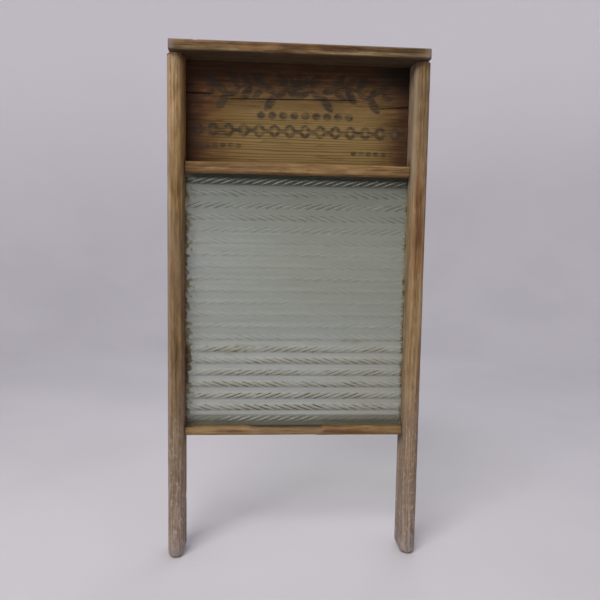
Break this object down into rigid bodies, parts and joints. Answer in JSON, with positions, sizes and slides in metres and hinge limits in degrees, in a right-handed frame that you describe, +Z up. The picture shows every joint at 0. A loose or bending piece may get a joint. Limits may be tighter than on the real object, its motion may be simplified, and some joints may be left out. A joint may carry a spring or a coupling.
{
  "type": "washboard",
  "caption": "Upright scrubbing board: a pressed-glass rubbing panel with rope-twist ribs in a nailed wooden frame with two legs, a soap recess and a flat cap.",
  "frame": {"origin": "on the ground under the middle of the frame, at the bottom centre of the bounding box", "axes": "+Z up along the stiles, +X to the right seen from the working face, the working face looks along -Y"},
  "size_m": [0.3, 0.044, 0.597],
  "materials": {
    "stile_wood": "weathered pine, bare, worn smooth above and driftwood grey on the legs",
    "cap_wood": "weathered pine, bare, grey at the ends, satin from handling",
    "rail_wood": "honey pine, rubbed smooth, satin",
    "panel_wood": "dark orange-brown pine board with cracks and a faded printed ornament, matte",
    "ribbed_glass": "pale grey-green pressed glass, glossy, with brown water stains in the lower half",
    "nail_steel": "dark rusted steel wire nail, rough"
  },
  "bodies": {
    "root": {"stile_left": "stile_wood", "stile_right": "stile_wood", "cap_rail": "cap_wood", "middle_rail": "rail_wood", "bottom_rail": "rail_wood", "head_panel": "panel_wood", "glass_panel": "ribbed_glass", "cap_nail_left_1": "nail_steel", "cap_nail_left_2": "nail_steel", "cap_nail_right_1": "nail_steel", "cap_nail_right_2": "nail_steel", "middle_rail_nail_left": "nail_steel", "middle_rail_nail_right": "nail_steel", "bottom_rail_nail_left": "nail_steel", "bottom_rail_nail_right": "nail_steel", "panel_brad_left_1": "nail_steel", "panel_brad_left_2": "nail_steel", "panel_brad_right_1": "nail_steel", "panel_brad_right_2": "nail_steel", "panel_brad_top_left": "nail_steel", "panel_brad_top_right": "nail_steel", "panel_brad_bottom_left": "nail_steel", "panel_brad_bottom_right": "nail_steel"}
  },
  "joints": []
}
